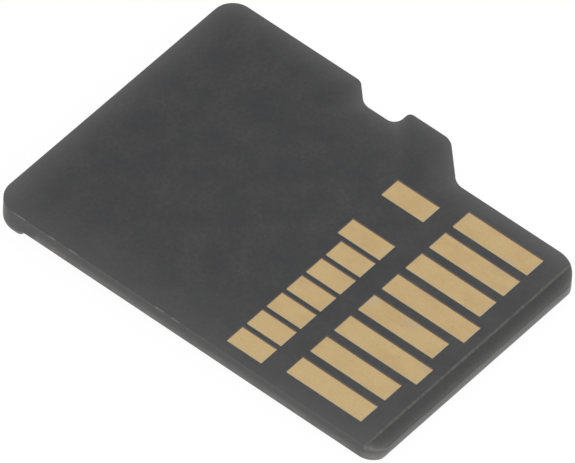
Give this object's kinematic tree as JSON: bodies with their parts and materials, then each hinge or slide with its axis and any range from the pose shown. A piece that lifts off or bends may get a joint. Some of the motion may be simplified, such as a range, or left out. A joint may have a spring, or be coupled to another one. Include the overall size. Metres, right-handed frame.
{
  "type": "memory card",
  "caption": "Thin moulded memory card, contact side up: two rows of gold-plated contacts in a black mask, side notch and ear, bevelled contact end and grip lip.",
  "frame": {"origin": "under the middle of the card, on the plane that the grip lip touches", "axes": "+Z out of the contact side, +Y from the contact end to the grip end, +X from the straight side to the notched side"},
  "size_m": [0.011, 0.015, 0.001],
  "materials": {
    "mould": "fine matt moulded epoxy",
    "laminate": "cut glass-fibre laminate",
    "mask": "satin black solder mask",
    "contacts": "matt gold plating",
    "silicon": "polished silicon",
    "film": "amber adhesive film",
    "capacitor": "fired ceramic with tinned ends",
    "wire": "bright gold"
  },
  "bodies": {
    "root": {"moulded_body": "mould", "laminate": "laminate", "solder_mask": "mask", "contact_1": "contacts", "contact_2": "contacts", "contact_3": "contacts", "contact_4": "contacts", "contact_5": "contacts", "contact_6": "contacts", "contact_7": "contacts", "contact_8": "contacts", "contact_9": "contacts", "contact_10": "contacts", "contact_11": "contacts", "contact_12": "contacts", "contact_13": "contacts", "contact_14": "contacts", "contact_15": "contacts", "contact_16": "contacts", "memory_die_1": "silicon", "memory_die_2": "silicon", "memory_die_3": "silicon", "memory_die_4": "silicon", "die_film_1": "film", "die_film_2": "film", "die_film_3": "film", "die_film_4": "film", "controller_die": "silicon", "controller_film": "film", "capacitor_1": "capacitor", "capacitor_2": "capacitor", "capacitor_3": "capacitor", "capacitor_4": "capacitor", "memory_wires": "wire", "controller_wires": "wire", "memory_fingers": "wire", "controller_fingers": "wire"}
  },
  "joints": []
}
